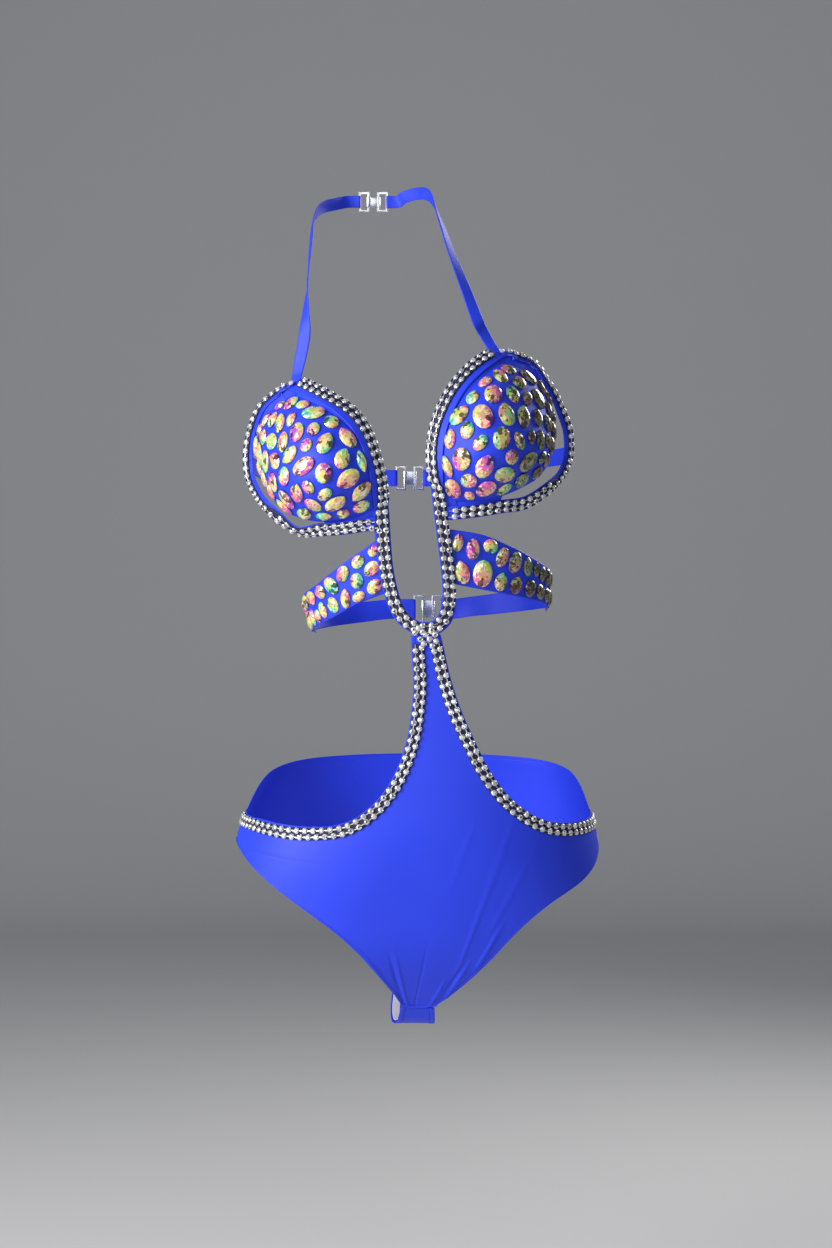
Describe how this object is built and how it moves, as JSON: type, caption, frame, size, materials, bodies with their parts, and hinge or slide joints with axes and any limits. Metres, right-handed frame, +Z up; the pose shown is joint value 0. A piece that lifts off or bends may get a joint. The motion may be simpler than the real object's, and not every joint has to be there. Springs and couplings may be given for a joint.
{
  "type": "halter-neck leotard",
  "caption": "One-piece halter-neck leotard with deep plunge, padded crystal cups and underbust bands, side cut-outs, rhinestone chain edging and hooked back straps.",
  "frame": {"origin": "inside face of the gusset lining at the middle of the crotch", "axes": "+Z up towards the neck, -Y out of the front, +X towards the side on the right of a viewer facing the front"},
  "size_m": [0.3158, 0.2544, 0.7408],
  "materials": {
    "shell": "smooth stretch knit, soft sheen",
    "lining": "matt mesh",
    "foam": "moulded foam",
    "elastic": "woven elastic",
    "crystal": "faceted, iridescent foiled",
    "silver": "polished"
  },
  "bodies": {
    "leotard": {"front_panel": "shell", "back_panel": "shell", "gusset": "shell", "plunge_yoke": "shell", "left_cup_shell": "shell", "right_cup_shell": "shell", "left_cup_frame": "shell", "right_cup_frame": "shell", "left_underbust_band": "shell", "right_underbust_band": "shell", "left_back_strap": "shell", "right_back_strap": "shell", "left_waist_strap": "shell", "right_waist_strap": "shell", "left_halter_tab": "shell", "right_halter_tab": "shell", "front_lining": "lining", "gusset_lining": "lining", "left_cup_lining": "lining", "right_cup_lining": "lining", "left_cup_foam": "foam", "right_cup_foam": "foam", "left_leg_elastic": "elastic", "right_leg_elastic": "elastic", "left_cup_crystals": "crystal", "right_cup_crystals": "crystal", "left_band_crystals": "crystal", "right_band_crystals": "crystal", "left_cup_chain": "silver", "right_cup_chain": "silver", "plunge_chain": "silver", "left_hip_chain": "silver", "right_hip_chain": "silver", "back_bar_ring": "silver", "back_eye_ring": "silver", "waist_bar_ring": "silver", "waist_eye_ring": "silver"},
    "halter": {"left_halter_strap": "shell", "right_halter_strap": "shell", "neck_bar_ring": "silver", "neck_eye_ring": "silver"},
    "back_hook": {"back_hook": "silver"},
    "waist_hook": {"waist_hook": "silver"},
    "neck_hook": {"neck_hook": "silver"}
  },
  "joints": [
    {"name": "halter_fold", "type": "hinge", "parent": "leotard", "child": "halter", "pos_m": [-0.09699, -0.06814, 0.56864], "axis": [0.987, -0.012, 0.1606], "range_deg": [0, 110]},
    {"name": "neck_clasp", "type": "hinge", "parent": "halter", "child": "neck_hook", "pos_m": [-0.03976, 0.05375, 0.7286], "axis": [0, 0, 1], "range_deg": [0, 75]},
    {"name": "back_clasp", "type": "hinge", "parent": "leotard", "child": "back_hook", "pos_m": [-0.00677, 0.10417, 0.48219], "axis": [0, 0, 1], "range_deg": [0, 75]},
    {"name": "waist_clasp", "type": "hinge", "parent": "leotard", "child": "waist_hook", "pos_m": [0.00993, 0.08061, 0.36133], "axis": [0, 0, 1], "range_deg": [0, 75]}
  ]
}
